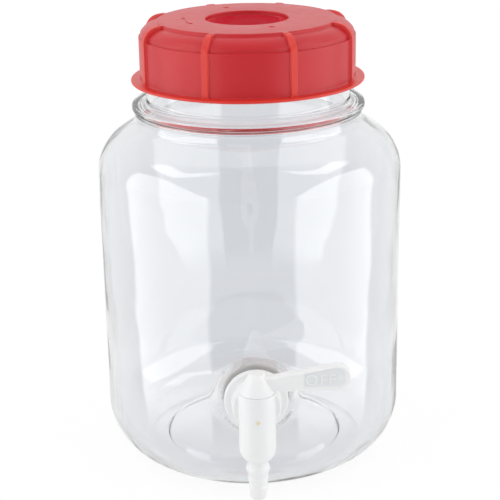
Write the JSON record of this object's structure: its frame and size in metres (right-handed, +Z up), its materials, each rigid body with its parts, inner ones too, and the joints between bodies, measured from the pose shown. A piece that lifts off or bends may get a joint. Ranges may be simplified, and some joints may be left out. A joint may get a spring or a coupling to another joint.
{
  "type": "fermenting jar with tap",
  "caption": "Clear plastic fermenting jar with a ribbed red screw lid that has a bung hole, and a white lever tap with a barbed hose outlet near the base.",
  "frame": {"origin": "centre of the middle of the standing ring, on the jar's axis, at the level it stands on", "axes": "+Z up along the jar's axis, -Y out through the tap, +X along the closed lever"},
  "size_m": [0.164, 0.1982, 0.2426],
  "materials": {
    "clear_pet": "clear glossy blow-moulded PET",
    "red_plastic": "satin moulded polypropylene",
    "white_plastic": "satin moulded polypropylene",
    "seal_rubber": "matte food-grade silicone"
  },
  "bodies": {
    "vessel": {"jar": "clear_pet", "tap_body": "white_plastic", "tap_nut": "white_plastic", "tap_outer_washer": "seal_rubber", "tap_inner_washer": "seal_rubber"},
    "lid_lift": {"lid_seal": "seal_rubber"},
    "lid": {"screw_lid": "red_plastic"},
    "lever": {"tap_lever": "white_plastic"}
  },
  "joints": [
    {"name": "lid_rise", "type": "slide", "parent": "vessel", "child": "lid_lift", "axis": [0, 0, 1], "range_m": [0, 0.009]},
    {"name": "lid_turn", "type": "hinge", "parent": "lid_lift", "child": "lid", "pos_m": [0, 0, 0.2426], "axis": [0, 0, 1], "range_deg": [0, 540]},
    {"name": "lever_turn", "type": "hinge", "parent": "vessel", "child": "lever", "pos_m": [0, -0.107, 0.076], "axis": [0, 0, 1], "range_deg": [-90, 0]}
  ],
  "couplings": [
    {"joint": "lid_rise", "follows": "lid_turn", "m_per_rad": 0.00095493}
  ]
}
